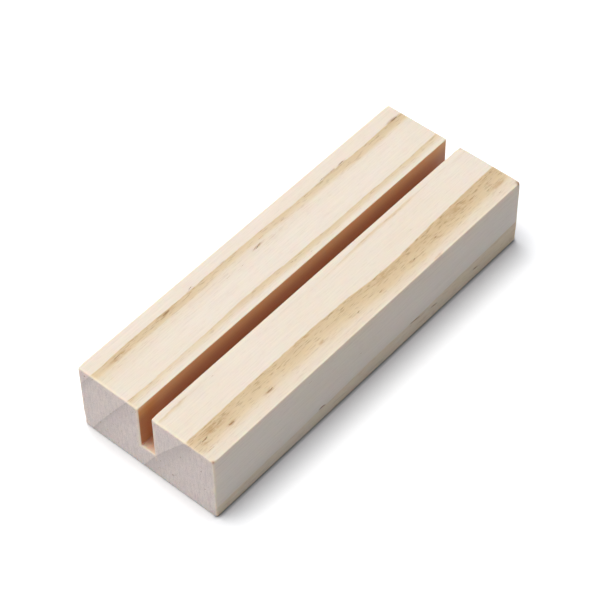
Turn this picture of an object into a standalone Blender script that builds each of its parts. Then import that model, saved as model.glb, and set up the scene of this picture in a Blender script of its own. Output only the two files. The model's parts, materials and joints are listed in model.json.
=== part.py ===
"""Table number holder: one solid block of pine with a straight slot sawn along its top.

The block stands on its flat base. A card, board or thin acrylic sign is pushed down into
the slot, rests on the slot's floor and is held upright between the two walls. The holder
is a single piece of wood, so it is a single object here, and nothing on it moves.

Frame: +Z up, origin at the middle of the base. The slot runs along X from end to end, and
the card that stands in it faces -Y.

Run it with: blender --background --python part.py
"""

import bmesh
import bpy

# Driving dimensions, in metres.
BLOCK_LENGTH = 0.0800  # along X, the way the grain and the slot run
BLOCK_WIDTH = 0.0300  # along Y, from the face under the card's front to the one behind it
BLOCK_HEIGHT = 0.0150  # along Z
SLOT_WIDTH = 0.0030  # between the slot's two walls
SLOT_DEPTH = 0.0096  # from the top face down to the slot's floor
ARRIS_RADIUS = 0.00035  # every outside corner is eased by sanding
ARRIS_SEGMENTS = 3  # flats that make up one eased corner
ARRIS_PROFILE = 0.5  # a quarter circle: less would cut a flat chamfer, more a square step
CORNER_ANGLE = 0.5  # radians: two faces that turn by more than this meet in a corner

# The saw runs past the block at both ends and above its top, so that no skin is left.
SAW_OVERRUN = 0.0020

# Colour and finish of bare, sanded pine.
PINE_COLOUR = (0.84, 0.72, 0.53, 1.0)
PINE_ROUGHNESS = 0.62

PART_COLLECTION = "table_number_holder"
CUTTER_COLLECTION = "cutters"


def clear_scene():
    """Removes the objects and collections of an earlier run or of the startup file."""
    for obj in list(bpy.data.objects):
        bpy.data.objects.remove(obj, do_unlink=True)
    for name in (PART_COLLECTION, CUTTER_COLLECTION):
        old = bpy.data.collections.get(name)
        if old is not None:
            bpy.data.collections.remove(old)


def new_collection(name):
    """Adds a collection to the scene."""
    collection = bpy.data.collections.new(name)
    bpy.context.scene.collection.children.link(collection)
    return collection


def box_object(name, size, centre, collection):
    """Adds a box of the given size with its centre at a point, its scale already applied."""
    mesh = bpy.data.meshes.new(name)
    bm = bmesh.new()
    bmesh.ops.create_cube(bm, size=1.0)
    bmesh.ops.scale(bm, vec=size, verts=bm.verts)
    bm.to_mesh(mesh)
    bm.free()
    box = bpy.data.objects.new(name, mesh)
    box.location = centre
    collection.objects.link(box)
    return box


def pine_material():
    """Bare pine, planed and sanded, with no varnish."""
    material = bpy.data.materials.new("bare_pine")
    material.use_nodes = True
    shader = material.node_tree.nodes["Principled BSDF"]
    shader.inputs["Base Color"].default_value = PINE_COLOUR
    shader.inputs["Roughness"].default_value = PINE_ROUGHNESS
    shader.inputs["Metallic"].default_value = 0.0
    return material


def slot_cutter(collection):
    """The space that the saw takes out: as wide as the slot, from its floor to above the top."""
    floor_height = BLOCK_HEIGHT - SLOT_DEPTH
    top_height = BLOCK_HEIGHT + SAW_OVERRUN
    cutter = box_object(
        "slot_saw_path",
        (BLOCK_LENGTH + 2 * SAW_OVERRUN, SLOT_WIDTH, top_height - floor_height),
        (0.0, 0.0, (top_height + floor_height) / 2),
        collection,
    )
    cutter.hide_render = True
    cutter.display_type = "WIRE"
    return cutter


def cut_with(block, cutter):
    """Takes the cutter's space out of the block, and keeps the result as the block's mesh."""
    cut = block.modifiers.new("saw_the_slot", "BOOLEAN")
    cut.operation = "DIFFERENCE"
    cut.solver = "EXACT"
    cut.object = cutter
    evaluated = block.evaluated_get(bpy.context.evaluated_depsgraph_get())
    sawn = bpy.data.meshes.new_from_object(evaluated)
    uncut = block.data
    block.modifiers.remove(cut)
    block.data = sawn
    bpy.data.meshes.remove(uncut)


def mark_outside_corners(mesh):
    """Weights the edges that stick out, so that the two inside corners of the slot stay square."""
    bm = bmesh.new()
    bm.from_mesh(mesh)
    weight = bm.edges.layers.float.new("bevel_weight_edge")
    for edge in bm.edges:
        is_corner = edge.calc_face_angle(0.0) > CORNER_ANGLE
        edge[weight] = 1.0 if is_corner and edge.is_convex else 0.0
    bm.to_mesh(mesh)
    bm.free()


def ease_outside_corners(block):
    """Rounds every outside corner of the block and of the slot's mouth."""
    mark_outside_corners(block.data)
    bevel = block.modifiers.new("eased_corners", "BEVEL")
    bevel.limit_method = "WEIGHT"
    bevel.offset_type = "OFFSET"
    bevel.width = ARRIS_RADIUS
    bevel.segments = ARRIS_SEGMENTS
    bevel.profile = ARRIS_PROFILE
    bevel.use_clamp_overlap = False


def slotted_block(part_collection, cutter_collection):
    """The whole holder: the blank, its slot and its eased corners."""
    block = box_object(
        "slotted_block",
        (BLOCK_LENGTH, BLOCK_WIDTH, BLOCK_HEIGHT),
        (0.0, 0.0, BLOCK_HEIGHT / 2),
        part_collection,
    )
    cut_with(block, slot_cutter(cutter_collection))
    ease_outside_corners(block)
    block.data.materials.clear()
    block.data.materials.append(pine_material())
    return block


def main():
    """Clears the file and builds the holder."""
    clear_scene()
    part_collection = new_collection(PART_COLLECTION)
    cutter_collection = new_collection(CUTTER_COLLECTION)
    slotted_block(part_collection, cutter_collection)


main()
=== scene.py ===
"""Looks of the table number holder: one slotted block of bare pine on a pale studio floor.

The block is sawn from a plank cut well away from the tree's heart, so its growth rings cross
it as wide, nearly flat bands that run on from the end grain over the top and down the sides.
Every colour and every ridge on it comes from one description of those rings, GrowthRings,
which both the block's geometry nodes and its pine finish read. Lengths inside the grain are
in millimetres, because the grain is read in them; meshes, camera and lamps are in metres.
"""

import json
import logging
import math
from dataclasses import dataclass
from enum import Enum
from typing import Any, Sequence, Union

import bpy
import numpy as np
from mathutils import Matrix, Vector

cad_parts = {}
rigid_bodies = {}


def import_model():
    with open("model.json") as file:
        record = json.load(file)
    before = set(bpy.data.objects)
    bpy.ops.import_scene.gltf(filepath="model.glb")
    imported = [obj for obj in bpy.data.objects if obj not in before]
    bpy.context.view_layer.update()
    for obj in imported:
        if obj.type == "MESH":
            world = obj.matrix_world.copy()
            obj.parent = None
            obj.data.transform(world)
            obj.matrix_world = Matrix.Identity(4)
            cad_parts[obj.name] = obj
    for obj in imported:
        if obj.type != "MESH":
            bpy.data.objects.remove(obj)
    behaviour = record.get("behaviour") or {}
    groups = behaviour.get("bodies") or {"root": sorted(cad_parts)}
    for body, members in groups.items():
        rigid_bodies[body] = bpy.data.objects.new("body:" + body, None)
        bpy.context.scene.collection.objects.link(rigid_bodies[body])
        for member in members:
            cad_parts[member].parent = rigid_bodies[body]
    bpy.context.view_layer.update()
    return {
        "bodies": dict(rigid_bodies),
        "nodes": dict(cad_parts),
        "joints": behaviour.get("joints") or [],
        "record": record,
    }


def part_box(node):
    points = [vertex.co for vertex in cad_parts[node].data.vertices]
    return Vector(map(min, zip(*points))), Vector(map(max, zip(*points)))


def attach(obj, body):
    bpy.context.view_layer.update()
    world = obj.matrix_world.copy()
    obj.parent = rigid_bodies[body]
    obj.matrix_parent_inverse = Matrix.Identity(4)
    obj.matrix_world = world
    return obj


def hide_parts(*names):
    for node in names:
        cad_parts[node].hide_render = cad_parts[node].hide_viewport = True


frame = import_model()

LOG = logging.getLogger("table_number_holder")

CAD_NODE = "slotted_block"
BODY = "root"
MM = 0.001

Colour = tuple[float, float, float, float]
Point = tuple[float, float, float]
Curve = tuple[tuple[float, float], ...]
Entry = Union["Field", float, Sequence[float]]


def srgb(red: int, green: int, blue: int) -> Colour:
    """Turns a colour picked on a screen into the linear one that a shader takes.

    Args:
        red: From 0 to 255.
        green: From 0 to 255.
        blue: From 0 to 255.

    Returns:
        The linear colour, opaque.
    """

    def linear(level: int) -> float:
        share = level / 255
        return share / 12.92 if share <= 0.04045 else ((share + 0.055) / 1.055) ** 2.4

    return linear(red), linear(green), linear(blue), 1.0


class Field:
    """A number, vector or colour that flows through a node tree. Arithmetic on it adds nodes."""

    def __init__(self, sheet: "NodeSheet", socket: bpy.types.NodeSocket) -> None:
        """Wraps an output socket of a node on the sheet."""
        self.sheet = sheet
        self.socket = socket

    def __add__(self, other: Entry) -> "Field":
        """Adds another number."""
        return self.sheet.math("ADD", self, other)

    def __sub__(self, other: Entry) -> "Field":
        """Takes another number away."""
        return self.sheet.math("SUBTRACT", self, other)

    def __rsub__(self, other: Entry) -> "Field":
        """Is taken away from another number."""
        return self.sheet.math("SUBTRACT", other, self)

    def __mul__(self, other: Entry) -> "Field":
        """Multiplies by another number."""
        return self.sheet.math("MULTIPLY", self, other)

    def __truediv__(self, other: Entry) -> "Field":
        """Divides by another number."""
        return self.sheet.math("DIVIDE", self, other)

    __radd__ = __add__
    __rmul__ = __mul__


@dataclass(frozen=True)
class Noise:
    """Smooth random blotches.

    Attributes:
        cell: How far apart they are along X, Y and Z, in the units of the point that is read.
        seed: Moves the pattern, so that no two look alike.
        detail: How many finer layers are added.
        rough: How strong those finer layers are.
        shows: The level at which it starts to show, and the one at which it shows fully.
        seed_step: How far each seed lies from the one before, in cells.
    """

    cell: Point
    seed: int
    detail: float = 2.0
    rough: float = 0.5
    shows: tuple[float, float] = (0.0, 1.0)
    seed_step: Point = (7.3, 3.1, 5.7)

    @property
    def shift(self) -> Point:
        """Gives how far the pattern is moved, in cells."""
        return tuple(step * self.seed for step in self.seed_step)


class NodeSheet:
    """A node tree being written, for a material or for geometry: both take the same maths."""

    def __init__(self, tree: bpy.types.NodeTree) -> None:
        """Starts writing on a tree, which loses the nodes that it had."""
        self.tree = tree
        tree.nodes.clear()

    def node(self, kind: str, settings: dict[str, Any] | None = None, **inputs: Entry) -> bpy.types.Node:
        """Adds a node, sets its properties and feeds its inputs.

        Args:
            kind: Blender's name for the node.
            settings: Properties of the node itself, such as its operation.
            **inputs: Inputs by name, with an underscore for each space.

        Returns:
            The new node.
        """
        node = self.tree.nodes.new(kind)
        for name, value in (settings or {}).items():
            setattr(node, name, value)
        for name, value in inputs.items():
            self.feed(node.inputs[name.replace("_", " ")], value)
        return node

    def feed(self, socket: bpy.types.NodeSocket, value: Entry) -> None:
        """Links a field to an input, or writes a plain value on it.

        Args:
            socket: The input.
            value: What it takes.
        """
        if isinstance(value, Field):
            self.tree.links.new(value.socket, socket)
        else:
            socket.default_value = value

    def out(self, node: bpy.types.Node, name: str | int = 0) -> Field:
        """Wraps a node's output, its first one if no name is given."""
        return Field(self, node.outputs[name])

    def math(self, operation: str, *values: Entry) -> Field:
        """Adds a Math node.

        Args:
            operation: Blender's name for it, such as ADD.
            *values: One to three numbers.

        Returns:
            The result.
        """
        node = self.node("ShaderNodeMath", {"operation": operation})
        for socket, value in zip(node.inputs, values):
            self.feed(socket, value)
        return self.out(node)

    def vector(self, operation: str, *values: Entry, output: str = "Vector") -> Field:
        """Adds a Vector Math node.

        Args:
            operation: Blender's name for it, such as ADD.
            *values: What it takes.
            output: Vector, or Value where the result is a number.

        Returns:
            The result.
        """
        node = self.node("ShaderNodeVectorMath", {"operation": operation})
        for socket, value in zip(node.inputs, values):
            self.feed(socket, value)
        return self.out(node, output)

    def scaled(self, vector: Entry, factor: Entry) -> Field:
        """Multiplies a vector by a number."""
        node = self.node("ShaderNodeVectorMath", {"operation": "SCALE"}, Vector=vector, Scale=factor)
        return self.out(node)

    def parts(self, vector: Field) -> tuple[Field, Field, Field]:
        """Splits a vector into its X, Y and Z."""
        node = self.node("ShaderNodeSeparateXYZ", Vector=vector)
        return self.out(node, 0), self.out(node, 1), self.out(node, 2)

    def joined(self, x: Entry, y: Entry, z: Entry) -> Field:
        """Makes a vector of three numbers."""
        return self.out(self.node("ShaderNodeCombineXYZ", X=x, Y=y, Z=z))

    def step(self, value: Entry, low: Entry, high: Entry) -> Field:
        """Rises smoothly from one place to another, which may be the lower one.

        Args:
            value: Where it is read.
            low: Where it begins to rise.
            high: Where it has risen.

        Returns:
            From 0 to 1.
        """
        settings = {"interpolation_type": "SMOOTHSTEP"}
        inputs = {"Value": value, "From_Min": low, "From_Max": high}
        return self.out(self.node("ShaderNodeMapRange", settings, **inputs))

    def largest(self, first: Entry, second: Entry) -> Field:
        """Takes the larger of two numbers."""
        return self.math("MAXIMUM", first, second)

    def noise(self, point: Field, noise: Noise) -> Field:
        """Adds smooth noise.

        Args:
            point: Where it is read.
            noise: Its pattern.

        Returns:
            A number around 0.5.
        """
        moved = self.vector("ADD", self.vector("DIVIDE", point, noise.cell), noise.shift)
        inputs = {"Vector": moved, "Scale": 1.0, "Detail": noise.detail, "Roughness": noise.rough}
        return self.out(self.node("ShaderNodeTexNoise", **inputs), 0)

    def blotches(self, point: Field, noise: Noise) -> Field:
        """Adds a noise's blotches, from 0 where it doesn't show to 1 where it shows fully."""
        return self.step(self.noise(point, noise), *noise.shows)

    def curve(self, value: Entry, points: Curve, low: float, high: float) -> Field:
        """Reads a smooth curve drawn through a few points.

        Args:
            value: From 0 to 1 along the curve.
            points: Pairs of a place from 0 to 1 and the curve's height there.
            low: The lowest height that the curve may take.
            high: The highest.

        Returns:
            The curve's height.
        """
        node = self.node("ShaderNodeFloatCurve", Value=value)
        drawn = node.mapping.curves[0].points
        while len(drawn) < len(points):
            drawn.new(0.5, 0.5)
        for dot, (place, height) in zip(drawn, points):
            dot.location = (place, (height - low) / (high - low))
        node.mapping.update()
        return self.out(node) * (high - low) + low

    def blend(self, factor: Entry, first: Entry, second: Entry, way: str = "MIX") -> Field:
        """Mixes two colours.

        Args:
            factor: 0 for the first colour, 1 for the second.
            first: A colour.
            second: A colour.
            way: How they mix, such as MULTIPLY.

        Returns:
            The mixed colour.
        """
        node = self.node("ShaderNodeMix", {"data_type": "RGBA", "blend_type": way})
        sockets = {socket.identifier: socket for socket in node.inputs}
        self.feed(sockets["Factor_Float"], factor)
        self.feed(sockets["A_Color"], first)
        self.feed(sockets["B_Color"], second)
        return self.out(node, 2)

    def seen(self) -> Field:
        """Tells what the camera sees, straight or in a reflection, from what only lights the object.

        Returns:
            1 for what is seen, 0 for what only gives light.
        """
        path = self.node("ShaderNodeLightPath")
        seen = self.largest(self.out(path, "Is Camera Ray"), self.out(path, "Is Glossy Ray"))
        return self.largest(seen, self.out(path, "Is Transmission Ray"))


class MaterialSheet(NodeSheet):
    """The node tree of a new material."""

    def __init__(self, name: str) -> None:
        """Makes the material and starts its tree."""
        self.material = bpy.data.materials.new(name)
        self.material.use_nodes = True
        super().__init__(self.material.node_tree)

    def object_point(self) -> Field:
        """Gives the place on the object, in millimetres."""
        place = self.out(self.node("ShaderNodeTexCoord"), "Object")
        return self.scaled(place, 1 / MM)

    def attribute(self, name: str) -> Field:
        """Reads a number that the mesh carries."""
        return self.out(self.node("ShaderNodeAttribute", {"attribute_name": name}), "Fac")

    def openness(self, reach: float) -> Field:
        """Gives how little stands near the surface, from 0 to 1, looking this far in metres."""
        return self.out(self.node("ShaderNodeAmbientOcclusion", Distance=reach), "AO")

    def surface(self, shader: Field) -> bpy.types.Material:
        """Ends the tree in this shader, and returns the material."""
        self.node("ShaderNodeOutputMaterial", Surface=shader)
        return self.material


class GeometrySheet(NodeSheet):
    """A geometry node tree, with named inputs, that ends in a plain mesh with one finish."""

    def __init__(self, name: str) -> None:
        """Makes the tree with its mesh input and output."""
        self.group = bpy.data.node_groups.new(name, "GeometryNodeTree")
        super().__init__(self.group)
        self.entry = self.node("NodeGroupInput")
        self.values: dict[str, Any] = {}
        self.group.interface.new_socket("Mesh", in_out="OUTPUT", socket_type="NodeSocketGeometry")
        self.mesh = self.input("Mesh", "NodeSocketGeometry", None)

    def input(self, name: str, kind: str, value: Any) -> Field:
        """Adds a named input.

        Args:
            name: What the input is called.
            kind: Blender's socket type.
            value: What the modifier gives it, or None for the mesh itself.

        Returns:
            The input as a field.
        """
        socket = self.group.interface.new_socket(name, in_out="INPUT", socket_type=kind)
        if value is not None:
            self.values[socket.identifier] = value
        return self.out(self.entry, name)

    def number(self, name: str, value: float) -> Field:
        """Adds a named input that takes a number."""
        return self.input(name, "NodeSocketFloat", value)

    def whole(self, name: str, value: int) -> Field:
        """Adds a named input that takes a whole number."""
        return self.input(name, "NodeSocketInt", value)

    def numbers(self, owner: Any, *fields: str) -> list[Field]:
        """Adds an input for each of these fields of an object, named after it and with its value."""
        return [self.number(field.replace("_", " ").title(), getattr(owner, field)) for field in fields]

    def place(self) -> Field:
        """Gives where each point of the mesh is."""
        return self.out(self.node("GeometryNodeInputPosition"))

    def attribute(self, name: str, kind: str = "FLOAT") -> Field:
        """Reads what the mesh carries under a name."""
        return self.out(self.node("GeometryNodeInputNamedAttribute", {"data_type": kind}, Name=name))

    def stored(self, mesh: Field, name: str, value: Field) -> Field:
        """Keeps a number on each point of the mesh.

        Args:
            mesh: The mesh.
            name: What the number is called.
            value: The number.

        Returns:
            The mesh with it.
        """
        settings = {"data_type": "FLOAT", "domain": "POINT"}
        inputs = {"Geometry": mesh, "Name": name, "Value": value}
        return self.out(self.node("GeometryNodeStoreNamedAttribute", settings, **inputs))

    def moved(self, mesh: Field, offset: Field) -> Field:
        """Moves each point of the mesh by its own offset."""
        return self.out(self.node("GeometryNodeSetPosition", Geometry=mesh, Offset=offset))

    def chance(self, low: Entry, high: Entry, seed: int) -> Field:
        """Draws a number for each point, the same ones every time.

        Args:
            low: The lowest that it may be.
            high: The highest.
            seed: Which draw this is.

        Returns:
            The numbers.
        """
        node = self.node("FunctionNodeRandomValue", {"data_type": "FLOAT"}, Seed=seed)
        sockets = {socket.identifier: socket for socket in node.inputs}
        self.feed(sockets["Min_001"], low)
        self.feed(sockets["Max_001"], high)
        return self.out(node, 1)

    def lenses(self, points: Field, normal: Field, pivot: str, turn: Field, size: Field) -> Field:
        """Lays a small lens of a few dozen faces on each point, flat on the surface there.

        Args:
            points: Where the lenses go.
            normal: Which way the surface looks at each point.
            pivot: The lens's own axis that keeps its direction as it is laid down.
            turn: How far each lens turns on the surface, in radians.
            size: Its length, width and thickness.

        Returns:
            The lenses, as copies of one shape.
        """
        lens = self.node("GeometryNodeMeshUVSphere", Segments=8, Rings=5, Radius=0.5)
        settings = {"axis": "Z", "pivot_axis": pivot}
        flat = self.out(self.node("FunctionNodeAlignRotationToVector", settings, Vector=normal))
        spin = self.out(self.node("FunctionNodeEulerToRotation", Euler=self.joined(0.0, 0.0, turn)))
        settings = {"rotation_space": "LOCAL"}
        laid = self.out(self.node("FunctionNodeRotateRotation", settings, Rotation=flat, Rotate_By=spin))
        inputs = {"Points": points, "Instance": self.out(lens, "Mesh"), "Rotation": laid, "Scale": size}
        return self.out(self.node("GeometryNodeInstanceOnPoints", **inputs))

    def finish(self, mesh: Field, finish: bpy.types.Material) -> None:
        """Ends the tree: every copy made real, smooth, and dressed in the finish.

        Args:
            mesh: The mesh with its copies.
            finish: Its material.
        """
        dress = self.input("Finish", "NodeSocketMaterial", finish)
        real = self.out(self.node("GeometryNodeRealizeInstances", Geometry=mesh))
        smooth = self.out(self.node("GeometryNodeSetShadeSmooth", Geometry=real))
        dressed = self.out(self.node("GeometryNodeSetMaterial", Geometry=smooth, Material=dress))
        self.node("NodeGroupOutput", Mesh=dressed)

    def applied_to(self, mesh: bpy.types.Mesh, name: str) -> bpy.types.Object:
        """Runs the tree on a mesh and keeps the result as a plain object.

        Args:
            mesh: What the tree starts from.
            name: What the new object is called.

        Returns:
            The object, at the origin, with no modifier left on it.
        """
        piece = bpy.data.objects.new(name, mesh)
        bpy.context.scene.collection.objects.link(piece)
        modifier = piece.modifiers.new(self.group.name, "NODES")
        modifier.node_group = self.group
        for identifier, value in self.values.items():
            modifier[identifier] = value
        evaluated = piece.evaluated_get(bpy.context.evaluated_depsgraph_get())
        result = bpy.data.meshes.new_from_object(evaluated)
        piece.modifiers.clear()
        piece.data = result
        result.name = name
        bpy.data.meshes.remove(mesh)
        return piece


# The grain of the plank


@dataclass(frozen=True)
class Ring:
    """One year's latewood: dark from its outer edge, fading inwards to the pale early wood.

    Attributes:
        radius: From the tree's heart to the dark edge.
        hold: How far in from the edge it stays dark.
        fade: Over how much more it fades away.
        wander: How the edge moves outwards along the block, as pairs of place and shift.
        strength: How dark it is along the block, as pairs of place and strength.
        line: How much darker still its outermost edge is.
    """

    radius: float
    hold: float
    fade: float
    wander: Curve
    strength: Curve
    line: float = 0.0


STRAIGHT: Curve = ((0.0, 0.0), (1.0, 0.0))
SLOT_DRIFT: Curve = ((0.0, 0.22), (0.2, 0.28), (0.45, 0.05), (0.64, -0.45), (0.8, -0.1), (1.0, 0.15))
FRONT_DRIFT: Curve = ((0.0, -0.38), (0.22, -0.32), (0.4, -0.30), (0.68, -0.62), (1.0, -0.64))
RINGS = (
    Ring(
        147.6, 1.5, 6.0,
        ((0.0, -0.2), (0.4, 0.4), (0.72, 0.75), (1.0, 1.25)),
        ((0.0, 0.24), (0.5, 0.27), (1.0, 0.34)),
    ),
    Ring(
        159.5, 0.0, 4.7, SLOT_DRIFT,
        ((0.0, 0.62), (0.03, 0.84), (0.3, 0.78), (0.6, 0.90), (0.8, 0.98), (1.0, 0.96)),
        line=0.14,
    ),
    Ring(159.4, 2.0, 6.5, SLOT_DRIFT, ((0.0, 0.13), (1.0, 0.17))),
    Ring(
        158.3, 0.3, 2.4,
        ((0.0, 0.0), (0.7, 0.1), (1.0, 0.0)),
        ((0.0, 0.25), (0.2, 0.1), (0.6, 0.3), (0.75, 0.8), (1.0, 0.7)),
    ),
    Ring(
        164.6, 0.0, 0.9,
        ((0.0, 0.0), (0.2, 0.1), (0.5, -0.1), (0.75, 0.15), (1.0, 0.0)),
        (
            (0.0, 0.15), (0.05, 0.45), (0.1, 0.15), (0.5, 0.12),
            (0.66, 0.45), (0.78, 0.4), (0.85, 0.1), (1.0, 0.15),
        ),
    ),
    Ring(169.2, 0.6, 3.2, STRAIGHT, ((0.0, 0.35), (0.05, 0.0), (1.0, 0.0))),
    Ring(
        169.9, 0.0, 1.8,
        ((0.0, 0.0), (0.12, -0.15), (0.38, 0.25), (0.65, -0.15), (1.0, 0.0)),
        ((0.0, 0.75), (0.04, 0.36), (0.15, 0.30), (0.4, 0.55), (0.7, 0.50), (1.0, 0.46)),
        line=0.10,
    ),
    Ring(177.0, 1.0, 3.2, FRONT_DRIFT, ((0.0, 0.16), (0.5, 0.14), (0.8, 0.05), (1.0, 0.05))),
    Ring(
        177.1, 0.4, 1.7, FRONT_DRIFT,
        ((0.0, 0.48), (0.22, 0.74), (0.45, 0.42), (0.8, 0.56), (1.0, 0.78)),
        line=0.25,
    ),
)


@dataclass(frozen=True)
class GrowthRings:
    """The rings that cross the block, as circles round the tree's heart, which lies along X.

    Attributes:
        rings: The rings, each dark band followed by the paler wood that goes with it.
        heart: Where the heart is in Y and Z, far outside the block.
        edge: How far the dark edge takes to rise.
        line_width: How wide the darker line on a ring's outermost edge is.
        most_wander: The furthest that an edge may move.
        most_strength: The darkest that a ring may be.
        ripple: How far long waves push the rings about.
        crinkle: How far short waves do.
        long_waves: The pattern of the long waves.
        short_waves: The pattern of the short ones.
    """

    rings: tuple[Ring, ...] = RINGS
    heart: tuple[float, float] = (-134.3, -83.7)
    edge: float = 0.26
    line_width: float = 0.45
    most_wander: float = 2.0
    most_strength: float = 1.5
    ripple: float = 0.30
    crinkle: float = 0.09
    long_waves: Noise = Noise((14.0, 9.0, 9.0), seed=1)
    short_waves: Noise = Noise((1.6, 1.2, 1.2), seed=14)

    def heart_distance(self, sheet: NodeSheet, point: Field) -> Field:
        """Gives how far a point is from the heart, with the small waves that real rings have.

        Args:
            sheet: The node tree being written.
            point: Where, in millimetres.

        Returns:
            The distance in millimetres.
        """
        _, across, up = sheet.parts(point)
        out_y = across - self.heart[0]
        out_z = up - self.heart[1]
        distance = sheet.math("SQRT", out_y * out_y + out_z * out_z)
        waves = sheet.noise(point, self.long_waves) - 0.5
        crinkles = sheet.noise(point, self.short_waves) - 0.5
        return distance + waves * (2 * self.ripple) + crinkles * (2 * self.crinkle)

    def latewood(self, sheet: NodeSheet, point: Field, half_length: float) -> Field:
        """Gives how dense and dark the wood is.

        Args:
            sheet: The node tree being written, for a material or for geometry.
            point: Where, in millimetres.
            half_length: Half the block's length, in millimetres.

        Returns:
            0 in early wood and about 1 in the darkest latewood.
        """
        along, _, _ = sheet.parts(point)
        place = along / (2 * half_length) + 0.5
        distance = self.heart_distance(sheet, point)
        total: Entry = 0.0
        for ring in self.rings:
            shift = sheet.curve(place, ring.wander, -self.most_wander, self.most_wander)
            depth = shift + ring.radius - distance
            risen = sheet.step(depth, 0.0, self.edge)
            fallen = sheet.step(depth, ring.hold, ring.hold + ring.fade)
            strength = sheet.curve(place, ring.strength, 0.0, self.most_strength)
            body = (1 - fallen) * strength
            if ring.line:
                body = body + sheet.step(depth, self.line_width, self.edge / 2) * ring.line
            total = sheet.largest(total, risen * body)
        return total


# Finishes


@dataclass(frozen=True)
class Cloud:
    """A brown patch in the latewood of the top face.

    Attributes:
        along: From the block's -X end to its middle, in mm.
        out: Its place on Y, in mm.
        length: Along the grain, in mm.
        width: Across it, in mm.
        strength: How brown its middle is, from 0 to 1.
    """

    along: float
    out: float
    length: float
    width: float
    strength: float


CLOUDS = tuple(
    Cloud(*row)
    for row in (
        (6.0, -10.2, 9.0, 2.2, 0.70),
        (2.4, -11.2, 2.6, 1.2, 0.60),
        (8.0, -11.8, 3.4, 0.9, 0.60),
        (16.8, -12.1, 3.6, 1.0, 0.65),
        (28.5, -9.2, 8.0, 0.7, 0.60),
        (30.2, -12.0, 3.6, 1.0, 0.55),
        (47.5, -10.4, 9.0, 2.0, 0.50),
        (53.5, -12.1, 2.8, 0.8, 0.50),
        (60.5, -11.8, 3.6, 0.9, 0.50),
        (67.0, -10.4, 13.0, 2.6, 0.45),
        (77.0, -12.3, 6.0, 1.4, 0.50),
        (57.2, -14.8, 3.0, 0.9, 0.80),
        (6.2, 11.4, 7.0, 1.4, 0.60),
        (18.0, 11.8, 6.0, 1.1, 0.75),
        (24.5, 12.1, 5.0, 0.9, 0.60),
        (31.5, 12.3, 4.0, 0.5, 0.55),
        (39.2, 10.2, 4.5, 0.8, 0.50),
        (43.5, 9.8, 6.0, 1.0, 0.22),
        (61.5, 12.0, 11.0, 0.8, 0.65),
        (77.5, 12.0, 6.0, 0.9, 0.65),
        (5.0, -2.6, 5.0, 0.6, 0.35),
        (60.0, -2.9, 4.5, 0.7, 0.38),
    )
)


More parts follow.
